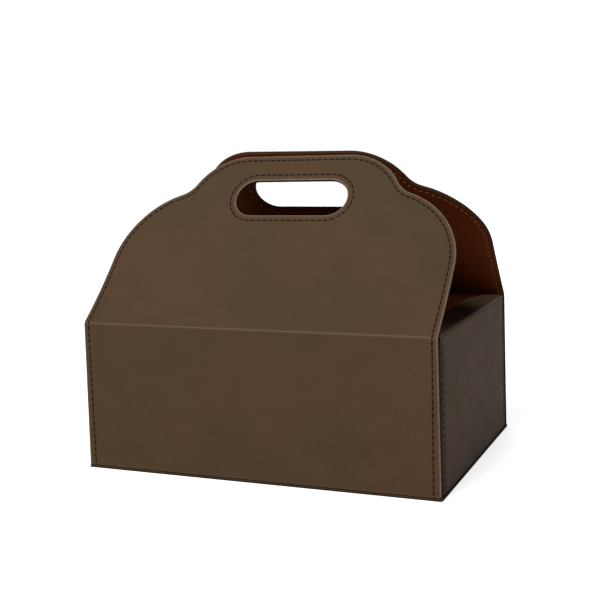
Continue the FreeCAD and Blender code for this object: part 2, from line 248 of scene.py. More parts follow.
def flap_edge(inset=0):
    """The right edge of a flap from the top of its straight side to the middle of its tip."""
    shoulder = (HALF_WIDTH - SHOULDER_RADIUS, SIDE_LENGTH)
    crown = (CROWN_HALF, CHORD - CROWN_RADIUS)
    apart = math.dist(shoulder, crown)
    to_shoulder = SHOULDER_RADIUS + NECK_RADIUS
    to_crown = CROWN_RADIUS + NECK_RADIUS
    run = (to_shoulder**2 - to_crown**2 + apart**2) / (2 * apart)
    rise = math.sqrt(to_shoulder**2 - run**2)
    step = [(c - s) / apart for s, c in zip(shoulder, crown)]
    neck = (
        shoulder[0] + run * step[0] + rise * step[1],
        shoulder[1] + run * step[1] - rise * step[0],
    )
    low = bearing(shoulder, neck)
    high = bearing(crown, neck)
    points = arc(shoulder, SHOULDER_RADIUS - inset, 0, low)
    points += arc(neck, NECK_RADIUS + inset, low + math.pi, high + math.pi)[1:]
    points += arc(crown, CROWN_RADIUS - inset, high, math.pi / 2)[1:]
    points.append((0, CHORD - inset))
    return [(x, along_arc(y)) for x, y in points]


def mirrored(points):
    """The points and their mirror images, from right to left."""
    return points + [(-x, y) for x, y in reversed(points) if x > TINY]


def panel_stitch_row(inset):
    """The row of stitches of a long panel: up one side, round the flap and down the other."""
    side = HALF_WIDTH - inset
    return mirrored([(side, -WALL_HEIGHT + PANEL_ROW_FOOT)] + flap_edge(inset))


def panel_outline(inset=0):
    """The cut edge of a long panel, from the foot of its right side round to the left."""
    foot = (HALF_FOOT - inset, -WALL_HEIGHT + inset)
    rim = (HALF_WIDTH - inset, 0)
    return mirrored([foot, rim] + flap_edge(inset))


def slot_outline(outset=0):
    """The hand hole, or a line round it at a distance."""
    radius = SLOT_HEIGHT / 2
    reach = SLOT_LENGTH / 2 - radius
    middle = CHORD - SLOT_BELOW_TIP
    points = arc((reach, middle), radius + outset, -math.pi / 2, math.pi / 2)
    points += arc((-reach, middle), radius + outset, math.pi / 2, 3 * math.pi / 2)
    return [(x, along_arc(y)) for x, y in points]


def dust_edge(inset=0):
    """The right half of a dust flap's free edge, from its side to the middle."""
    flat = FOLD_HALF - DUST_CURVE_RUN
    slow = (flat, DUST_DEPTH - DUST_EDGE_RADIUS)
    between = DUST_EDGE_RADIUS - DUST_CORNER_RADIUS
    across = FOLD_HALF - DUST_CORNER_RADIUS - flat
    corner = (FOLD_HALF - DUST_CORNER_RADIUS, slow[1] + math.sqrt(between**2 - across**2))
    turn = bearing(slow, corner)
    points = arc(corner, DUST_CORNER_RADIUS - inset, 0, turn)
    points += arc(slow, DUST_EDGE_RADIUS - inset, turn, math.pi / 2)[1:]
    points.append((0, DUST_DEPTH - inset))
    folded = FOLD_END - RIM_RADIUS
    return [(x, y + folded) for x, y in points]


def end_outline(inset=0):
    """The cut edge of an end panel with its flanges and dust flap."""
    side = FOLD_HALF + CORNER_RUN + FLANGE
    right = [
        (side - inset, inset),
        (side - inset, FOLD_START - inset),
        (FOLD_HALF - inset, FOLD_START - inset),
        (FOLD_HALF - inset, FOLD_END),
    ]
    return mirrored(right + dust_edge(inset))


def end_board_outline():
    """The board of an end panel, which stops short of the corners."""
    right = [
        (SEAM_HALF, 0),
        (SEAM_HALF, FOLD_START),
        (FOLD_HALF, FOLD_START + BOARD_STEP),
        (FOLD_HALF, FOLD_END),
    ]
    return mirrored(right + dust_edge())


def rounded_rectangle(half_x, half_y, radius):
    """A rectangle round the middle, from its half sides and the radius of its corners."""
    points = []
    for index, (sx, sy) in enumerate(((1, -1), (1, 1), (-1, 1), (-1, -1))):
        centre = ((half_x - radius) * sx, (half_y - radius) * sy)
        start = (index - 1) * math.pi / 2
        points += arc(centre, radius, start, start + math.pi / 2, SMALL_ARC_STEP)
    return points


def base_outline(inset=0):
    """The base sheet, which stands out a little past the walls."""
    half_x = END_FACE + BASE_OVERHANG - inset
    half_y = HALF_DEPTH + BASE_OVERHANG - inset
    return rounded_rectangle(half_x, half_y, BASE_CORNER - inset)


def base_lining_outline():
    """The base lining, notched at its corners round the flanges of the end panels."""
    long_half = END_FACE - WALL - FIT_GAP
    deep_half = INNER_DEPTH - FIT_GAP
    notch_x = END_FACE - END_BEND - FLANGE - FIT_GAP
    notch_y = deep_half - NOTCH_DEPTH
    corner = [(notch_x, -deep_half), (notch_x, -notch_y), (long_half, -notch_y)]
    right = corner + [(x, -y) for x, y in reversed(corner)]
    return right + [(-x, y) for x, y in reversed(right)]


# Triangulated patterns


def spaced(points, step, closed, rows=()):
    """Put points on a path at a step, and also where it crosses the rows of a fold."""
    out = []
    count = len(points)
    for index in range(count if closed else count - 1):
        (x0, y0), (x1, y1) = points[index], points[(index + 1) % count]
        length = math.hypot(x1 - x0, y1 - y0)
        if length < TINY:
            continue
        stops = set(np.linspace(0, 1, max(1, round(length / step)) + 1)[:-1])
        if abs(y1 - y0) > TINY:
            shares = [(height - y0) / (y1 - y0) for height in rows]
            stops.update(share for share in shares if 0 < share < 1)
        last = None
        for share in sorted(stops):
            point = (x0 + (x1 - x0) * share, y0 + (y1 - y0) * share)
            if last is None or math.dist(point, last) > CLOSEST:
                out.append(point)
                last = point
    if not closed:
        out.append(points[-1])
    return out


def fold_rows(low, high):
    """Heights of closely set rows across a fold."""
    return np.arange(low, high + TINY, FOLD_STEP)


def inside(points, loop):
    """Which of the points lie inside a closed loop."""
    x, y = points[:, 0], points[:, 1]
    result = np.zeros(len(points), bool)
    for (x0, y0), (x1, y1) in zip(loop, np.roll(loop, -1, axis=0)):
        if abs(y1 - y0) > TINY:
            crosses = (y0 > y) != (y1 > y)
            result ^= crosses & (x < x0 + (y - y0) * (x1 - x0) / (y1 - y0))
    return result


class Pattern:
    """A flat sheet cut into triangles.

    Each line of points carries how far it sinks below the face, and its marks: how much edge tone
    it takes as a cut edge (on the cover a painted highlight with some rubbing), and how dark it is
    in the furrows or as painted shade.
    """

    def __init__(self, outline, step, holes=(), rows=()):
        self.rows = np.array(rows)
        self.step = step
        self.points = []
        self.sinks = []
        self.marks = []
        self.edges = []
        self.loops = [self.line(path, 0, True) for path in (outline, *holes)]
        self.outer, *self.holes = [
            np.array([self.points[number] for number in loop]) for loop in self.loops
        ]

    def line(self, path, sink, closed, mark=(0.0, 0.0)):
        """Add a line of points to the sheet, joined to each other."""
        spots = spaced(path, self.step, closed, self.rows)
        start = len(self.points)
        numbers = list(range(start, start + len(spots)))
        self.points += spots
        self.sinks += [sink] * len(spots)
        self.marks += [mark] * len(spots)
        self.edges += list(zip(numbers, numbers[1:]))
        if closed:
            self.edges.append((numbers[-1], numbers[0]))
        return numbers

    def soften_edges(self, sink, edge_tone=1.0):
        """Sink the cut edges themselves, and give them the edge tone (on the cover a painted
        highlight).
        """
        self.sinks = [sink] * len(self.points)
        self.marks = [(edge_tone, 0.0)] * len(self.points)

    def on_sheet(self, places):
        """Which places lie inside the outline and outside the holes."""
        keep = inside(places, self.outer)
        for hole in self.holes:
            keep &= ~inside(places, hole)
        return keep

    def fill(self, step):
        """Put points over the rest of the sheet, with closer rows across a fold."""
        low, high = self.outer.min(axis=0), self.outer.max(axis=0)
        xs = np.arange(low[0] + step / 2, high[0], step)
        ys = np.arange(low[1] + step / 2, high[1], step)
        if len(self.rows):
            beside = (ys < self.rows[0] - step / 2) | (ys > self.rows[-1] + step / 2)
            ys = np.concatenate([ys[beside], self.rows])
        grid = np.array([(x, y) for y in ys for x in xs])
        grid = grid[self.on_sheet(grid)]
        taken = np.array(self.points)
        nearest = [np.hypot(*(taken - place).T).min() for place in grid]
        room = np.where(np.isin(grid[:, 1], self.rows), ROW_ROOM, ROOM_SHARE * step)
        grid = grid[nearest > np.minimum(room, MOST_ROOM)]
        self.points += [tuple(p) for p in grid]
        self.sinks += [0.0] * len(grid)
        self.marks += [(0.0, 0.0)] * len(grid)

    def cut(self):
        """Triangulate the sheet, and keep what lies on it."""
        points = [Vector(point) for point in self.points]
        places, _, faces, sources, _, _ = delaunay_2d_cdt(points, self.edges, [], 0, MERGED)
        self.places = np.array([tuple(place) for place in places])
        triangles = np.array([face for face in faces if len(face) == 3])
        corners = self.places[triangles]
        along, across = corners[:, 1] - corners[:, 0], corners[:, 2] - corners[:, 0]
        area = np.abs(along[:, 0] * across[:, 1] - along[:, 1] * across[:, 0]) / 2
        self.triangles = triangles[self.on_sheet(corners.mean(axis=1)) & (area > SLIVER)]
        number = {}
        self.sunk = np.zeros(len(places))
        self.marked = np.zeros((len(places), 2))
        for index, origins in enumerate(sources):
            for origin in origins:
                number[origin] = index
                self.sunk[index] = max(self.sunk[index], self.sinks[origin])
                self.marked[index] = np.maximum(self.marked[index], self.marks[origin])
        self.rims = [[number[n] for n in loop] for loop in self.loops]
        return self


def plain_pattern(outline, line_step, step, holes=(), rows=()):
    """A pattern with no furrows and no wear, for a hidden face."""
    pattern = Pattern(outline, line_step, holes, rows)
    pattern.fill(step)
    return pattern.cut()


def long_patterns():
    """A long panel's seen face (furrows, toned edges, painted shade at the foot) and hidden face.
    """
    rows = fold_rows(-LONG_FOLD, LONG_FOLD)
    holes = [slot_outline()]
    fine = Pattern(panel_outline(), LINE_STEP, holes, rows)
    fine.soften_edges(LONG_EDGE_SINK)
    for inset, sink, edge_tone in EDGE_RINGS:
        fine.line(panel_outline(inset), sink, True, (edge_tone, 0.0))
        fine.line(slot_outline(inset), sink, True, (edge_tone, 0.0))
    for offset, sink, dark in FURROW:
        fine.line(panel_stitch_row(PANEL_STITCH + offset), sink, False, (0.0, dark))
        fine.line(slot_outline(SLOT_STITCH + offset), sink, True, (0.0, dark))
    fine.fill(LONG_STEP)
    fine.cut()
    # Painted shade along the foot of the wall, where it meets the base
    fine.marked[fine.places[:, 1] < -WALL_HEIGHT + SHADED_FOOT_HEIGHT] = SHADE_MARK
    return fine, plain_pattern(panel_outline(), LINE_STEP, LONG_HIDDEN_STEP, holes, rows)


def end_patterns():
    """An end panel's seen face (furrows, toned edges and rim, painted shade), hidden face, and
    board.
    """
    rows = fold_rows(FOLD_START - END_FOLD_BELOW, FOLD_END + END_FOLD_ABOVE)
    fine = Pattern(end_outline(), LINE_STEP, rows=rows)
    fine.soften_edges(END_EDGE_SINK)
    for inset, sink, edge_tone in EDGE_RINGS[:2]:
        fine.line(end_outline(inset), sink, True, (edge_tone, 0.0))
    low, high = END_FURROW_SHORT, FOLD_START - END_FURROW_SHORT
    for offset, sink, dark in FURROW:
        for x in (END_STITCH + offset, -END_STITCH - offset):
            fine.line([(x, low), (x, high)], sink, False, (0.0, dark))
    fine.fill(END_STEP)
    fine.cut()
    beside, height = np.abs(fine.places[:, 0]), fine.places[:, 1]
    # Painted shade in the recess between each stitch row and its corner, and along the foot
    recess = (beside > END_STITCH + SHADE_BESIDE_STITCH) & (height < FOLD_START)
    fine.marked[recess | (height < SHADED_FOOT_HEIGHT)] = SHADE_MARK
    # A painted highlight, with some rubbing, along the rim's fold
    rim = np.abs(height - FOLD_START - FOLD_RUN * RIM_PLACE) < RIM_HALF
    fine.marked[rim & (beside < FOLD_HALF - RIM_SHORT)] = RIM_HIGHLIGHT_AND_WEAR
    plain = plain_pattern(end_outline(), LINE_STEP, END_HIDDEN_STEP, rows=rows)
    return fine, plain, plain_pattern(end_board_outline(), LINE_STEP, END_BOARD_STEP, rows=rows)


# Folding the patterns


def turned(x, y, z, angle):
    """Points turned about the upright middle line, one to a row."""
    cos, sin = math.cos(angle), math.sin(angle)
    return np.stack([x * cos - y * sin, x * sin + y * cos, z], axis=1)


class LongPanel:
    """Front or back panel: a wall, a crease at the rim, and a flap that sags and leans in."""

    def __init__(self, side):
        front = side == "front"
        self.turn = 0 if front else math.pi
        self.skew = 0 if front else CROWN_SKEW
        self.rise = 0 if front else CROWN_RISE
        self.lift = 0 if front else SIDE_LIFT
        offset = TIP_OFFSET if front else -TIP_OFFSET
        tip_depth = WALL / math.cos(BOW)
        reach = HALF_DEPTH - TIP_GAP / 2 + offset
        self.lean = math.asin(reach / math.hypot(CHORD, tip_depth)) - math.atan(tip_depth / CHORD)
        self.mitre = math.tan((self.lean + BOW) / 2)

    def on_wall(self, along, depth):
        """Places on the wall, from how far above the rim and how deep, as y and z."""
        top = RIM_HEIGHT - depth * self.mitre
        return depth - HALF_DEPTH, top + along * (top - BASE_SHEET) / WALL_HEIGHT

    def on_flap(self, along, depth, lift=0):
        """Places on the flap, from how far past the crease and how deep, as y and z."""
        start = depth * self.mitre * math.cos(BOW) - depth * math.sin(BOW)
        place = BOW_RADIUS * (math.sin(BOW) - np.sin(BOW - along / BOW_RADIUS))
        place = place + start * np.clip(1 - along / MITRE_FADE, 0, 1)
        radius = BOW_RADIUS + depth
        height = BOW_RADIUS - SAG - np.sqrt(radius**2 - (place - CHORD / 2) ** 2)
        height = height + lift * 4 * place * (CHORD - place) / CHORD**2
        y = place * math.sin(self.lean) - height * math.cos(self.lean) - HALF_DEPTH
        z = place * math.cos(self.lean) + height * math.sin(self.lean) + RIM_HEIGHT
        return y, z

    def on_fold(self, along, depth, run):
        """A curve from the wall to the flap, drawn to where their faces meet."""
        ends = self.on_wall(-run, depth), self.on_wall(0 * run, depth), self.on_flap(run, depth)
        share = np.clip((along + run) / (2 * run), 0, 1)
        weights = (1 - share) ** 2, 2 * share * (1 - share), share**2
        return [sum(w * end[k] for w, end in zip(weights, ends)) for k in (0, 1)]

    def askew(self, flat):
        """The back flap's crown leans to one side, and is higher there."""
        across, along = flat[:, 0], flat[:, 1]
        share = np.clip((along - SKEW_START) / SKEW_RUN, 0, 1)
        share = share**2 * (3 - 2 * share)
        higher = np.clip(0.5 + across / (2 * CROWN_HALF), 0, 1)
        return across + self.skew * share, along + self.rise * share * higher

    def place(self, flat, depth):
        """Rows of (across, along) and their depths, as places in space."""
        across, along = self.askew(flat)
        lift = self.lift * np.clip(-across / HALF_WIDTH, 0, 1) ** 2
        run = FOLD_ROUND - FOLD_TIGHTER * depth
        wall = self.on_wall(np.minimum(along, 0), depth)
        flap = self.on_flap(np.maximum(along, 0), depth, lift)
        fold = self.on_fold(along, depth, run)
        near = np.abs(along) < run
        y, z = (np.where(near, fold[k], np.where(along < 0, wall[k], flap[k])) for k in (0, 1))
        return turned(across, y, z, self.turn)


class EndPanel:
    """End panel: flanges round its corners, and a dust flap folded level at the rim."""

    def __init__(self, side):
        self.turn = math.pi / 2 if side == "right" else 3 * math.pi / 2

    def place(self, flat, depth):
        """Rows of (across, along) and their depths, as places in space."""
        across, along = flat[:, 0], flat[:, 1]
        past = np.maximum(np.abs(across) - FOLD_HALF, 0)
        flange = past > TINY
        # Round the corner, and back along the flange
        angle = np.minimum(past / END_BEND, math.pi / 2)
        radius = END_BEND - depth
        x = np.where(flange, np.sign(across) * (FOLD_HALF + radius * np.sin(angle)), across)
        beside = END_BEND - radius * np.cos(angle) + np.maximum(past - CORNER_RUN, 0)
        # Over the rim, and in along the dust flap
        up = np.maximum(along - FOLD_START, 0)
        turn = np.minimum(up / RIM_RADIUS, math.pi / 2)
        fold = RIM_RADIUS - depth
        over = RIM_RADIUS - fold * np.cos(turn) + np.maximum(up - FOLD_RUN, 0)
        y = np.where(flange, beside, np.where(up > 0, over, depth)) - END_FACE
        z = np.minimum(along, FOLD_START) + np.where(flange, 0, fold * np.sin(turn))
        # The panel leans in from its foot
        cos, sin = math.cos(END_SLOPE), math.sin(END_SLOPE)
        level = y - END_PIVOT
        leaning_y = END_PIVOT + level * cos + z * sin
        leaning_z = BASE_SHEET - level * sin + z * cos
        return turned(x, leaning_y, leaning_z, self.turn)


class Level:
    """A level sheet with its upper face at a height."""

    def __init__(self, top):
        self.top = top

    def place(self, flat, depth):
        """Rows of places on the sheet and their depths, as places in space."""
        return np.stack([flat[:, 0], flat[:, 1], self.top - depth], axis=1)


def lining_step(flat):
    """The lining steps in to clear the board, and meets the cover beside the corners."""
    share = np.clip((SEAM_HALF + STEP_RUN - np.abs(flat[:, 0])) / STEP_RUN, 0, 1)
    rise = np.clip((flat[:, 1] - FOLD_START + STEP_TOP_RUN) / STEP_TOP_RUN, 0, 1)
    return -LINING_STEP * (1 - np.maximum(share, rise))


def cover_dip(flat):
    """The cover is drawn in beside the corners, where there is no board behind it."""
    beside = np.abs(flat[:, 0])
    share = np.clip((beside - SEAM_HALF - DIP_START) / DIP_RUN, 0, 1)
    share = share * np.clip((FOLD_HALF + DIP_END_RUN - beside) / DIP_END_RUN, 0, 1)
    rise = np.clip((FOLD_START - flat[:, 1]) / DIP_TOP_RUN, 0, 1)
    return COVER_DIP * share * rise


def swell(flat, seed):
    """How far the glued skin lies below its face: waves of three lengths that wander."""
    x, y = flat[:, 0] + SWELL_SHIFT[0] * seed, flat[:, 1] + SWELL_SHIFT[1] * seed
    wander_x, wander_y = (turn * np.sin(p / length) for p, (length, turn) in zip((y, x), WANDERS))
    phases = (x / WAVES[0][0] + wander_x, y / WAVES[1][0] + wander_y, (x + y) / WAVES[2][0] + seed)
    height = sum(share * np.sin(phase) for phase, (_, share) in zip(phases, WAVES))
    return SWELL * np.abs(height) / sum(share for _, share in WAVES)


# Objects

# The flat pattern is kept in decimetres, and an edge sharper than this angle stays sharp
FLAT_UNITS = 10
SHARP_ANGLE = 38


def new_object(name, points, faces, flats, finishes, kinds, fold_height=0, marks=None):
    """A mesh from millimetre points. It keeps its flat pattern, measured from its fold."""
    mesh = bpy.data.meshes.new(name)
    mesh.from_pydata((points * MM).tolist(), [], faces)
    for finish in finishes:
        mesh.materials.append(finish)
    mesh.polygons.foreach_set("material_index", kinds)
    corners = np.zeros(len(mesh.loops), np.int32)
    mesh.loops.foreach_get("vertex_index", corners)
    sheet = (flats - (0, fold_height)) * MM * FLAT_UNITS
    flat_map = mesh.uv_layers.new(name="flat")
    flat_map.data.foreach_set("uv", sheet[corners].astype(np.float32).ravel())
    if marks is not None:
        colours = np.zeros((len(points), 4), np.float32)
        colours[:, :2] = marks
        # The marks are kept on the points: the edge tone, partly painted highlight, and the
        # darkening, partly painted shade
        wear = mesh.color_attributes.new("wear", "FLOAT_COLOR", "POINT")
        wear.data.foreach_set("color", colours.ravel())
    mesh.shade_smooth()
    mesh.set_sharp_from_angle(angle=math.radians(SHARP_ANGLE))
    piece = bpy.data.objects.new(name, mesh)
    bpy.context.scene.collection.objects.link(piece)
    return piece


def layer(name, fine, plain, shape, depths, finishes, seed, fold_height=0, moved=None):
    """One layer of a panel: its seen face, its hidden face, and the cut edge between them.

    depths are those of the seen face and of the hidden one, so a lining is given inside out.
    moved says how much deeper the whole layer lies at each place.
    """
    seen, hidden = depths
    inwards = 1 if hidden > seen else -1
    sunk = fine.sunk + swell(fine.places, seed) * (fine.sunk == 0)
    top_depth = seen + inwards * sunk
    bottom_depth = np.full(len(plain.places), hidden)
    if moved is not None:
        top_depth = top_depth + moved(fine.places)
        bottom_depth = bottom_depth + moved(plain.places)
    top = shape.place(fine.places, top_depth)
    bottom = shape.place(plain.places, bottom_depth)
    start = len(top)
    faces = [tuple(corners) for corners in fine.triangles]
    faces += [tuple(reversed(corners)) for corners in plain.triangles + start]
    kinds = [0] * len(faces)
    for upper, lower in zip(fine.rims, plain.rims):
        for index in range(len(upper)):
            after = (index + 1) % len(upper)
            under, under_after = lower[index] + start, lower[after] + start
            faces.append((upper[index], under, under_after, upper[after]))
            kinds.append(1)
    if inwards < 0:
        faces = [tuple(reversed(face)) for face in faces]
    points = np.vstack([top, bottom])
    flats = np.vstack([fine.places, plain.places])
    marks = np.vstack([fine.marked, np.zeros((len(plain.places), 2))])
    return new_object(name, points, faces, flats, finishes, kinds, fold_height, marks)


def along_path(path, closed):
    """The points of a path, closed back to its start if it is a loop, and how far each lies."""
    points = np.array(path + path[:1] if closed else path, float)
    lengths = np.concatenate([[0], np.cumsum(np.hypot(*np.diff(points, axis=0).T))])
    return points, lengths


def stitch(line, lengths, middle):
    """Rings of flat points round one stitch of a row, and how deep each point lies."""
    shares = np.linspace(-1, 1, THREAD_SLICES)
    rise = np.sqrt(np.clip(1 - shares**2, 0, 1))
    turn = np.linspace(0, 2 * math.pi, THREAD_SIDES, endpoint=False)
    spots = middle + shares * STITCH_LENGTH / 2
    x = np.interp(spots, lengths, line[:, 0])
    y = np.interp(spots, lengths, line[:, 1])
    heading = np.array([x[-1] - x[0], y[-1] - y[0]])
    heading = heading / np.hypot(*heading)
    width = THREAD_HALF * (THREAD_TAPER + (1 - THREAD_TAPER) * rise)
    beside = np.outer(width, np.cos(turn))
    below = THREAD_PRESSED * np.outer(width, np.sin(turn))
    flat = np.stack([x[:, None] - heading[1] * beside, y[:, None] + heading[0] * beside], axis=2)
    depth = (THREAD_DIP - THREAD_ARCH * rise)[:, None] + below
    return flat.reshape(-1, 2), depth.ravel()


def stitch_faces(start):
    """The sides and ends of the stitch whose points are numbered from start."""
    last = start + (THREAD_SLICES - 1) * THREAD_SIDES
    faces = []
    for ring in range(start, last, THREAD_SIDES):
        for side in range(THREAD_SIDES):
            a, b = ring + side, ring + (side + 1) % THREAD_SIDES
            faces.append((a, a + THREAD_SIDES, b + THREAD_SIDES, b))
    faces.append(tuple(range(start, start + THREAD_SIDES)))
    faces.append(tuple(reversed(range(last, last + THREAD_SIDES))))
    return faces


def thread(name, rows, shape, depth, way, finish):
    """Stitches along rows of the flat pattern. way is 1 on the outer face and -1 inside."""
    flats, depths, faces = [], [], []
    for path, closed in rows:
        line, lengths = along_path(path, closed)
        count = int(lengths[-1] / STITCH_PITCH)
        pitch = lengths[-1] / count
        for index in range(count):
            flat, below = stitch(line, lengths, (index + 0.5) * pitch)
            faces += stitch_faces(len(flats) * THREAD_SLICES * THREAD_SIDES)
            flats.append(flat)
            depths.append(depth + way * below)
    if way < 0:
        faces = [tuple(reversed(face)) for face in faces]
    flats = np.vstack(flats)
    points = shape.place(flats, np.concatenate(depths))
    return new_object(name, points, faces, flats, [finish], [0] * len(faces))


# Materials

# How unevenly a skin takes the edge tone, how much its folds take, and how much its roughness
# varies
# On the cover the edge tone is lighter: a painted highlight, with some rubbing
EDGE_TONE_SPREAD = 0.9
EDGE_TONE_LEAST = 0.45
FOLD_HIGHLIGHT_AND_WEAR = 0.3
ROUGHNESS_SPREAD = 0.22

# Sockets of a mix of two colours: its share, and the two
MIX_SOCKETS = (0, 6, 7)


class Nodes:
    """A material's node tree, with short calls for what the finishes share."""

    def __init__(self, name):
        self.material = bpy.data.materials.new(name)
        self.material.use_nodes = True
        self.tree = self.material.node_tree
        self.tree.nodes.clear()
        self.shader = self.tree.nodes.new("ShaderNodeBsdfPrincipled")
        output = self.tree.nodes.new("ShaderNodeOutputMaterial")
        self.tree.links.new(self.shader.outputs[0], output.inputs[0])

    def new(self, kind, **settings):
        node = self.tree.nodes.new(kind)
        for key, value in settings.items():
            setattr(node, key, value)
        return node

    def link(self, source, target):
        self.tree.links.new(source, target)

    def place(self, source, stretch=(1, 1, 1)):
        """A place on the flat pattern in decimetres, or in the object in metres."""
        if source == "flat":
            vector = self.new("ShaderNodeUVMap", uv_map="flat").outputs[0]
        else:
            vector = self.new("ShaderNodeTexCoord").outputs["Object"]
        mapping = self.new("ShaderNodeMapping")
        mapping.inputs["Scale"].default_value = stretch
        self.link(vector, mapping.inputs[0])
        return mapping.outputs[0]

    def noise(self, vector, scale, detail=3, rough=0.5):
        node = self.new("ShaderNodeTexNoise")
        node.inputs["Scale"].default_value = scale
        node.inputs["Detail"].default_value = detail
        node.inputs["Roughness"].default_value = rough
        self.link(vector, node.inputs["Vector"])
        return node.outputs["Fac"]

    def ramp(self, value, stops):
        node = self.new("ShaderNodeValToRGB")
        elements = node.color_ramp.elements
        while len(elements) < len(stops):
            elements.new(0.5)
        for element, (place, colour) in zip(elements, stops):
            element.position = place
            element.color = (*colour, 1)
        self.link(value, node.inputs[0])
        return node.outputs[0]

    def math(self, action, *values):
        node = self.new("ShaderNodeMath", operation=action)
        for socket, value in zip(node.inputs, values):
            if isinstance(value, (int, float)):
                socket.default_value = value
            else:
                self.link(value, socket)
        return node.outputs[0]

    def mix(self, share, first, second, blend="MIX"):
        node = self.new("ShaderNodeMix", data_type="RGBA", blend_type=blend)
        for socket, value in zip(MIX_SOCKETS, (share, first, second)):
            if isinstance(value, (int, float)):
                node.inputs[socket].default_value = value
            elif isinstance(value, tuple):
                node.inputs[socket].default_value = (*value, 1)
            else:
                self.link(value, node.inputs[socket])
        return node.outputs[2]

    def tint(self, colour, value, low, high):
        """Darken and lighten a colour by a value between two shades of grey."""
        shade = self.ramp(value, [(0.3, (low, low, low)), (0.7, (high, high, high))])
        return self.mix(1.0, colour, shade, "MULTIPLY")

    def finish(self, colour, normal, roughness, shine):
        """Set the shader's colour, relief, roughness and shine."""
        self.link(colour, self.shader.inputs["Base Color"])
        if normal is not None:
            self.link(normal, self.shader.inputs["Normal"])
        if isinstance(roughness, float):
            self.shader.inputs["Roughness"].default_value = roughness
        else:
            self.link(roughness, self.shader.inputs["Roughness"])
        self.shader.inputs["Specular IOR Level"].default_value = shine
        return self.material

    def bump(self, height, strength, distance, after=None):
        node = self.new("ShaderNodeBump")
        node.inputs["Strength"].default_value = strength
        node.inputs["Distance"].default_value = distance
        self.link(height, node.inputs["Height"])
        if after is not None:
            self.link(after, node.inputs["Normal"])
        return node.outputs[0]


def fold_mask(nodes, half_width=0.018, wander=0.006):
    """1 along the fold at height 0 of the flat pattern, fading to 0 at half_width beside it."""
    flat = nodes.place("flat")
    split = nodes.new("ShaderNodeSeparateXYZ")
    nodes.link(flat, split.inputs[0])
    shift = nodes.math("MULTIPLY", nodes.noise(flat, scale=6), wander)
    height = nodes.math("ABSOLUTE", nodes.math("ADD", split.outputs[1], shift))
    share = nodes.math("DIVIDE", height, half_width)
    fade = nodes.math("SUBTRACT", 1.0, nodes.math("MINIMUM", share, 1.0))
    return nodes.math("POWER", fade, 2.0)


def highlight_wear_and_shade_marks(nodes):
    """How much edge tone the edges and folds take, and how dark the furrows and the painted shade
    are.
    """
    wear = nodes.new("ShaderNodeAttribute", attribute_name="wear")
    marks = nodes.new("ShaderNodeSeparateColor")
    nodes.link(wear.outputs["Color"], marks.inputs[0])
    patches = nodes.noise(nodes.place("flat"), scale=14)
    uneven = nodes.math("MULTIPLY_ADD", patches, EDGE_TONE_SPREAD, EDGE_TONE_LEAST)
    edge = nodes.math("MINIMUM", nodes.math("MULTIPLY", marks.outputs[0], uneven), 1.0)
    fold = nodes.math("MULTIPLY", fold_mask(nodes), FOLD_HIGHLIGHT_AND_WEAR)
    return nodes.math("MAXIMUM", edge, fold), marks.outputs[1]


def pebbled(nodes):
    """Relief of coated fabric: fine pebble grain under soft creases."""
    flat = nodes.place("flat")
    pebble = nodes.new("ShaderNodeTexVoronoi", feature="SMOOTH_F1")
    pebble.inputs["Scale"].default_value = 85
    nodes.link(flat, pebble.inputs["Vector"])
    creases = nodes.noise(flat, scale=26, detail=5, rough=0.6)
    grain = nodes.bump(pebble.outputs["Distance"], strength=0.25, distance=0.00012)
    return nodes.bump(creases, strength=0.22, distance=0.00035, after=grain)


def leatherette(name, tones, edge_tone, furrow_and_shade, roughness, shine):
    """Coated fabric: slow patches, clouds, specks, edge and fold tone, dark furrows and painted
    shade.
    """
    nodes = Nodes(name)
    flat = nodes.place("flat")
    patches = nodes.noise(flat, scale=1.1, detail=1, rough=0.4)
    clouds = nodes.noise(nodes.place("flat", (1, 1.3, 1)), scale=4, detail=4, rough=0.55)
    specks = nodes.noise(flat, scale=90, detail=2, rough=0.6)
    colour = nodes.ramp(patches, list(zip((0.34, 0.5, 0.66), tones)))
    colour = nodes.tint(colour, clouds, 0.95, 1.04)
    colour = nodes.tint(colour, specks, 0.9, 1.06)
    edge_and_fold_share, dark = highlight_wear_and_shade_marks(nodes)
    # At edges and folds the colour moves to the edge tone; on the cover this is a painted
    # highlight, with some rubbing
    colour = nodes.mix(edge_and_fold_share, colour, edge_tone)
    # In the furrows the colour darkens, and at the foot and in the recesses this darkening is
    # painted shade
    colour = nodes.mix(dark, colour, furrow_and_shade)
    least = roughness - ROUGHNESS_SPREAD / 2
    uneven = nodes.math("MULTIPLY_ADD", clouds, ROUGHNESS_SPREAD, least)
    return nodes.finish(colour, pebbled(nodes), uneven, shine)


def board_stock(name, dark, light):
    """Board seen at its cut edge, which is stained dark: fibres and faint plies."""
    nodes = Nodes(name)
    fibre = nodes.noise(nodes.place("object"), scale=1400, detail=4, rough=0.7)
    plies = nodes.noise(nodes.place("object", (0.25, 0.25, 1)), scale=5200, detail=2)
    tone = nodes.math("MULTIPLY_ADD", plies, 0.5, nodes.math("MULTIPLY", fibre, 0.5))
    colour = nodes.ramp(tone, [(0.3, dark), (0.7, light)])
    relief = nodes.bump(fibre, strength=0.4, distance=0.0001)
    return nodes.finish(colour, relief, roughness=0.9, shine=0.08)


def cut_edge(name, dark, light):
    """The raw edge of the skins, where the cloth backing shows."""
    nodes = Nodes(name)
    weave = nodes.noise(nodes.place("object"), scale=2200, rough=0.6)
    colour = nodes.ramp(weave, [(0.35, dark), (0.65, light)])
    relief = nodes.bump(weave, strength=0.3, distance=0.0001)
    return nodes.finish(colour, relief, roughness=0.8, shine=0.08)


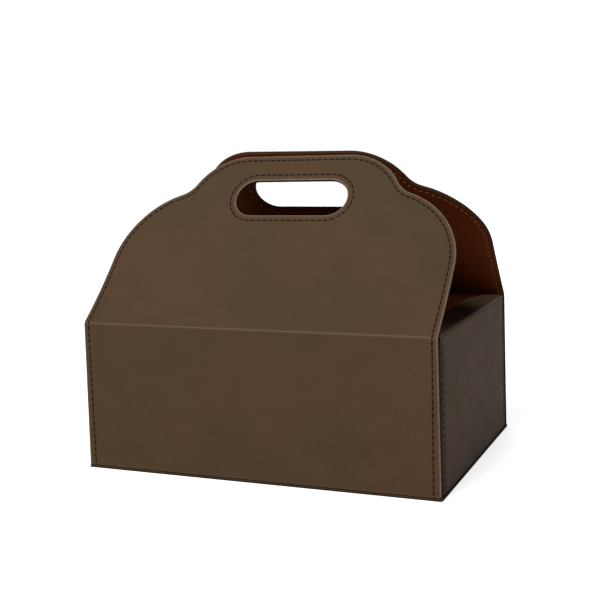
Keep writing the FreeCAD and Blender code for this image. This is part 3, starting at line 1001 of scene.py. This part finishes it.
def sewing_thread(name, dark, light):
    """Waxed thread with a fine twist."""
    nodes = Nodes(name)
    wave = nodes.new("ShaderNodeTexWave", bands_direction="DIAGONAL")
    wave.inputs["Scale"].default_value = 60
    wave.inputs["Distortion"].default_value = 1
    nodes.link(nodes.place("flat"), wave.inputs["Vector"])
    twist = wave.outputs["Fac"]
    colour = nodes.ramp(twist, [(0.2, dark), (0.8, light)])
    relief = nodes.bump(twist, strength=0.4, distance=0.00008)
    return nodes.finish(colour, relief, roughness=0.75, shine=0.06)


def paper_floor():
    """Seamless white paper, which keeps a faint shadow and fades to white away from it."""
    nodes = Nodes("white_paper")
    grain = nodes.noise(nodes.place("object"), scale=900, rough=0.6)
    colour = nodes.ramp(grain, [(0.3, (0.7, 0.7, 0.69)), (0.7, (0.75, 0.75, 0.74))])
    rays = nodes.new("ShaderNodeLightPath").outputs
    seen = nodes.math("MAXIMUM", rays["Is Camera Ray"], rays["Is Glossy Ray"])
    seen = nodes.math("MAXIMUM", seen, rays["Is Transmission Ray"])
    away = nodes.new("ShaderNodeVectorMath", operation="LENGTH")
    nodes.link(nodes.place("object"), away.inputs[0])
    reach = nodes.new("ShaderNodeMapRange", interpolation_type="SMOOTHSTEP")
    nodes.link(away.outputs["Value"], reach.inputs["Value"])
    for socket, value in zip(("From Min", "From Max", "To Min", "To Max"), GLOW_RUN + GLOW):
        reach.inputs[socket].default_value = value
    nodes.shader.inputs["Emission Color"].default_value = (1, 1, 1, 1)
    glow = nodes.math("MULTIPLY", seen, reach.outputs["Result"])
    nodes.link(glow, nodes.shader.inputs["Emission Strength"])
    return nodes.finish(colour, None, roughness=0.95, shine=0.1)


# The object

# Colours as darkest, middle and lightest, or as dark and light
BROWN = ((0.082, 0.053, 0.029), (0.088, 0.053, 0.030), (0.096, 0.054, 0.032))
# The cover is lightened toward this at cut edges, folds and the rim of an end: a painted
# highlight, with some rubbing
BROWN_HIGHLIGHT_AND_WEAR = (0.25, 0.18, 0.13)
# The cover darkens toward this in its stitch furrows, and as painted shade at the foot and in the
# recesses
BROWN_FURROW_AND_SHADE = (0.012, 0.006, 0.004)
TAN = ((0.112, 0.022, 0.0055), (0.124, 0.026, 0.0065), (0.138, 0.031, 0.009))
TAN_WORN = (0.06, 0.02, 0.009)
# The lining darkens toward this in the same furrows, and as painted shade in the same places
TAN_FURROW_AND_SHADE = (0.07, 0.02, 0.008)
GREYBOARD = ((0.018, 0.009, 0.005), (0.05, 0.03, 0.018))
EDGE = ((0.03, 0.017, 0.011), (0.07, 0.043, 0.028))
# The base sheet's cut edge is this dark as painted shade under the walls
SHADED_BASE_EDGE = ((0.012, 0.007, 0.005), (0.03, 0.018, 0.012))
BROWN_THREAD = ((0.005, 0.003, 0.002), (0.014, 0.008, 0.005))
TAN_THREAD = ((0.12, 0.06, 0.02), (0.25, 0.14, 0.05))

# Where the unevenness of each panel starts, and how much further on its lining's does
SEEDS = {"front": 1, "back": 2, "right": 7, "left": 9}
LINING_SEED = 4

# Two places on a long panel, this far below and above its crease, are worked out; nothing uses
# them
BEND_HALF = 3


def make_finishes():
    """Every material of the object, by the name of its stuff."""
    return {
        "brown": leatherette(
            "brown_leatherette", BROWN, BROWN_HIGHLIGHT_AND_WEAR, BROWN_FURROW_AND_SHADE, roughness=0.55, shine=0.02
        ),
        "tan": leatherette("tan_lining", TAN, TAN_WORN, TAN_FURROW_AND_SHADE, roughness=0.5, shine=0.05),
        "board": board_stock("greyboard", *GREYBOARD),
        "edge": cut_edge("cut_edge", *EDGE),
        # The base sheet's edge, dark as painted shade
        "painted": cut_edge("shaded_base_edge", *SHADED_BASE_EDGE),
        "brown_thread": sewing_thread("brown_thread", *BROWN_THREAD),
        "tan_thread": sewing_thread("tan_thread", *TAN_THREAD),
    }


def sandwich(finishes, fine, plain, board, seed):
    """The layers of a panel: kind, seen and hidden pattern, depths, finishes and seed."""
    edge = finishes["edge"]
    return (
        ("cover", fine, plain, COVER, [finishes["brown"], edge], seed),
        ("board", board, board, BOARD, [finishes["board"]] * 2, 0),
        ("lining", fine, plain, LINING[::-1], [finishes["tan"], edge], seed + LINING_SEED),
    )


def make_long_panel(side, fine, plain, finishes):
    """Front or back panel: cover, board and lining run on over the crease as one sheet each."""
    shape = LongPanel(side)
    layers = sandwich(finishes, fine, plain, plain, SEEDS[side])
    pieces = []
    for kind, seen, hidden, depths, skins, seed in layers:
        piece = layer(f"{side}_panel_{kind}", seen, hidden, shape, depths, skins, seed)
        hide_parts(f"{side}_wall_{kind}", f"{side}_flap_{kind}")
        pieces.append(piece)
    rows = [(panel_stitch_row(PANEL_STITCH), False), (slot_outline(SLOT_STITCH), True)]
    for kind, name, depth, way, stuff in (
        ("cover", f"{side}_panel_thread", THREAD_BED, 1, finishes["brown_thread"]),
        ("lining", f"{side}_lining_thread", WALL - THREAD_BED, -1, finishes["tan_thread"]),
    ):
        piece = thread(name, rows, shape, depth, way, stuff)
        pieces.append(piece)
    bend = shape.place(np.array([(0.0, -BEND_HALF), (0.0, BEND_HALF)]), np.zeros(2)) * MM
    for piece in pieces:
        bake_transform(piece)


def make_end_panel(side, fine, plain, board, finishes):
    """Left or right end: cover, board and lining, each folded over the rim as one sheet."""
    shape = EndPanel(side)
    names = {"cover": "skin", "board": "stiffener", "lining": "inner_skin"}
    moved = {"cover": cover_dip, "lining": lining_step}
    fold = FOLD_START + FOLD_RUN / 2
    layers = sandwich(finishes, fine, plain, board, SEEDS[side])
    for kind, seen, hidden, depths, skins, seed in layers:
        name = f"{side}_end_{names[kind]}"
        piece = layer(name, seen, hidden, shape, depths, skins, seed, fold, moved.get(kind))
        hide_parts(f"{side}_end_{kind}")
        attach(piece, "tray")
    low, high = END_ROW_SHORT, FOLD_START - END_ROW_SHORT
    rows = [([(x, low), (x, high)], False) for x in (END_STITCH, -END_STITCH)]
    stuff = finishes["brown_thread"]
    piece = thread(f"{side}_end_thread", rows, shape, END_THREAD_BED, 1, stuff)
    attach(piece, "tray")


def make_base(finishes):
    """The base: its sheet, the lining on it, and the board between them."""
    sheet = Pattern(base_outline(), BASE_LINE_STEP)
    sheet.soften_edges(BASE_EDGE_SINK, edge_tone=0.0)
    sheet.line(base_outline(BASE_EASE), 0, True)
    sheet.fill(BASE_STEP)
    sheet.cut()
    under = plain_pattern(base_outline(), BASE_LINE_STEP, BASE_STEP)
    # The sheet's cut edge takes the dark finish: painted shade under the walls
    skins = [finishes["brown"], finishes["painted"]]
    cover = layer("base_sheet", sheet, under, Level(BASE_SHEET), (0, BASE_SHEET), skins, 0)
    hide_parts("base_cover")
    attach(cover, "tray")
    inner = plain_pattern(base_lining_outline(), BASE_LINING_LINE_STEP, BASE_LINING_STEP)
    top = BASE_SHEET + BASE_BOARD + BASE_LINING
    skins = [finishes["tan"], finishes["edge"]]
    lining = layer("base_inner_skin", inner, inner, Level(top), (0, BASE_LINING), skins, 0)
    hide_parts("base_lining")
    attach(lining, "tray")
    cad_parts["base_board"].material_slots[0].material = finishes["board"]


def make_object():
    finishes = make_finishes()
    fine, plain = long_patterns()
    for side in ("front", "back"):
        make_long_panel(side, fine, plain, finishes)
    fine, plain, board = end_patterns()
    for side in ("left", "right"):
        make_end_panel(side, fine, plain, board, finishes)
    make_base(finishes)


# The studio: lamps as (name, place, size, power), in metres and watts
LAMPS = (
    ("key", (-0.6, -2.0, 2.4), 1.5, 91),
    ("side", (2.2, -0.8, 0.4), 1.0, 2.5),
    ("back", (-0.4, 2.4, 1.8), 1.6, 26),
)
LAMP_AIM = (0, 0, 0.12)
WORLD_COLOUR = (1.0, 0.97, 0.92, 1)
WORLD_STRENGTH = 0.07
WHITE = (1, 1, 1, 1)
FLOOR_SIZE = 16
FLOOR_PLACE = (0, 0, -0.1 * MM)

# How bright the floor looks close to the object and far from it, and between which
# distances that changes
GLOW = (0.78, 1.0)
GLOW_RUN = (0.3, 1.6)


def make_floor():
    bpy.ops.mesh.primitive_plane_add(size=FLOOR_SIZE, location=FLOOR_PLACE)
    floor = bpy.context.object
    floor.name = "floor"
    floor.data.materials.append(paper_floor())


def make_world():
    """Faint warm light from all round, behind which the camera sees white."""
    world = bpy.data.worlds.new("studio")
    bpy.context.scene.world = world
    world.use_nodes = True
    tree = world.node_tree
    tree.nodes.clear()
    light = tree.nodes.new("ShaderNodeBackground")
    light.inputs["Color"].default_value = WORLD_COLOUR
    light.inputs["Strength"].default_value = WORLD_STRENGTH
    white = tree.nodes.new("ShaderNodeBackground")
    white.inputs["Color"].default_value = WHITE
    rays = tree.nodes.new("ShaderNodeLightPath")
    mix = tree.nodes.new("ShaderNodeMixShader")
    output = tree.nodes.new("ShaderNodeOutputWorld")
    tree.links.new(rays.outputs["Is Camera Ray"], mix.inputs[0])
    tree.links.new(light.outputs[0], mix.inputs[1])
    tree.links.new(white.outputs[0], mix.inputs[2])
    tree.links.new(mix.outputs[0], output.inputs[0])


def add_softbox(name, place, size, power):
    data = bpy.data.lights.new(name, "AREA")
    data.shape = "DISK"
    data.size = size
    data.energy = power
    lamp = bpy.data.objects.new(name, data)
    lamp.location = place
    aim = Vector(LAMP_AIM) - Vector(place)
    lamp.rotation_euler = aim.to_track_quat("-Z", "Y").to_euler()
    bpy.context.scene.collection.objects.link(lamp)


def make_studio():
    make_floor()
    make_world()
    for lamp in LAMPS:
        add_softbox(*lamp)


# The camera, in millimetres, degrees and pixels of the frame
CAMERA_PLACE = (358.4, -866.9, 265.0)
CAMERA_AZIMUTH = 22.68
CAMERA_PITCH = 8.32
CAMERA_ROLL = -1.69
FOCAL_PIXELS = 1110.4
IMAGE_SIDE = 600
SENSOR_SIDE = 36
CLIP_METRES = (0.05, 50)


def make_camera():
    azimuth = math.radians(CAMERA_AZIMUTH)
    pitch = math.radians(CAMERA_PITCH)
    roll = math.radians(CAMERA_ROLL)
    level = Vector((math.cos(azimuth), math.sin(azimuth), 0))
    ahead = Vector((-math.sin(azimuth), math.cos(azimuth), 0))
    forward = math.cos(pitch) * ahead - math.sin(pitch) * Vector((0, 0, 1))
    upright = level.cross(forward)
    right = math.cos(roll) * level + math.sin(roll) * upright
    up = math.cos(roll) * upright - math.sin(roll) * level
    data = bpy.data.cameras.new("camera")
    data.sensor_width = SENSOR_SIDE
    data.lens = FOCAL_PIXELS / IMAGE_SIDE * SENSOR_SIDE
    data.clip_start, data.clip_end = CLIP_METRES
    camera = bpy.data.objects.new("camera", data)
    turn = Matrix((right, up, -forward)).transposed().to_4x4()
    camera.matrix_world = Matrix.Translation(Vector(CAMERA_PLACE) * MM) @ turn
    bpy.context.scene.collection.objects.link(camera)
    bpy.context.scene.camera = camera


make_object()
make_studio()
make_camera()
bpy.context.scene.view_settings.view_transform = "Standard"
